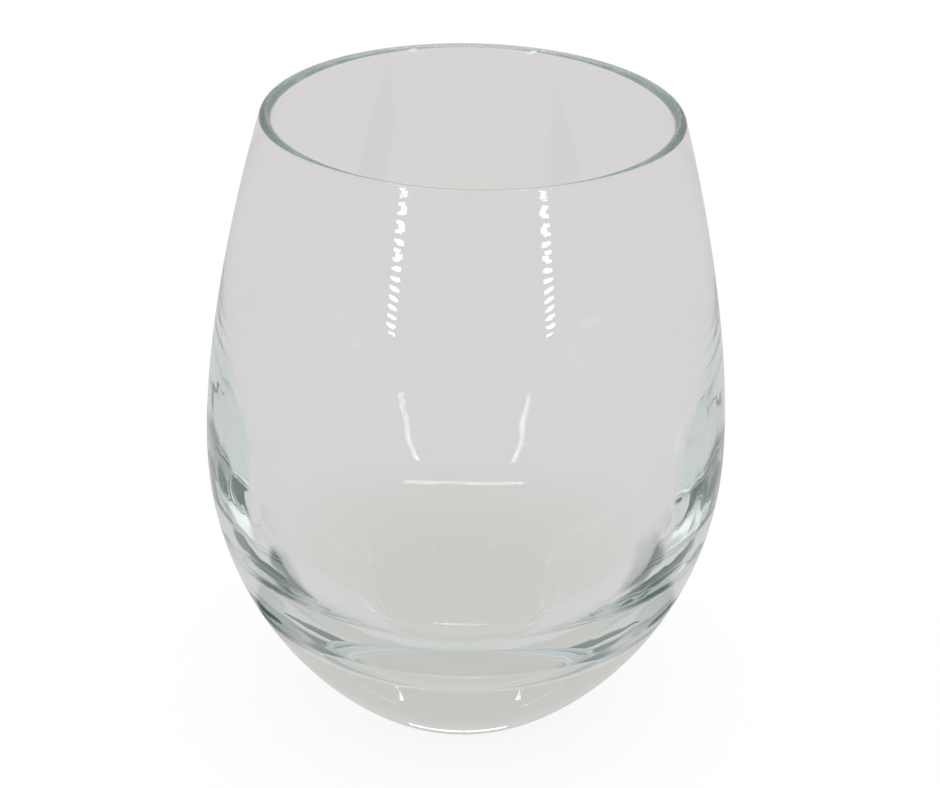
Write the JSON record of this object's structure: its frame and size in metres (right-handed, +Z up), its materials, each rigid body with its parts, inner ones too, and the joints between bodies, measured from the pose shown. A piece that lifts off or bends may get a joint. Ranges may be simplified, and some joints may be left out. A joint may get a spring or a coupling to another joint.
{
  "type": "stemless wine glass",
  "caption": "Clear stemless wine glass: an egg-shaped bowl with a rounded lip, walls that thicken downwards and a heavy base that stands on a narrow ring.",
  "frame": {"origin": "centre of the standing ring, on the surface that the glass stands on", "axes": "+Z up, along the axis of revolution; X and Y are alike"},
  "size_m": [0.091, 0.091, 0.1113],
  "materials": {
    "clear_glass": "fire-polished clear soda-lime glass with a faint green tint in depth"
  },
  "bodies": {
    "root": {"glass_body": "clear_glass"}
  },
  "joints": []
}
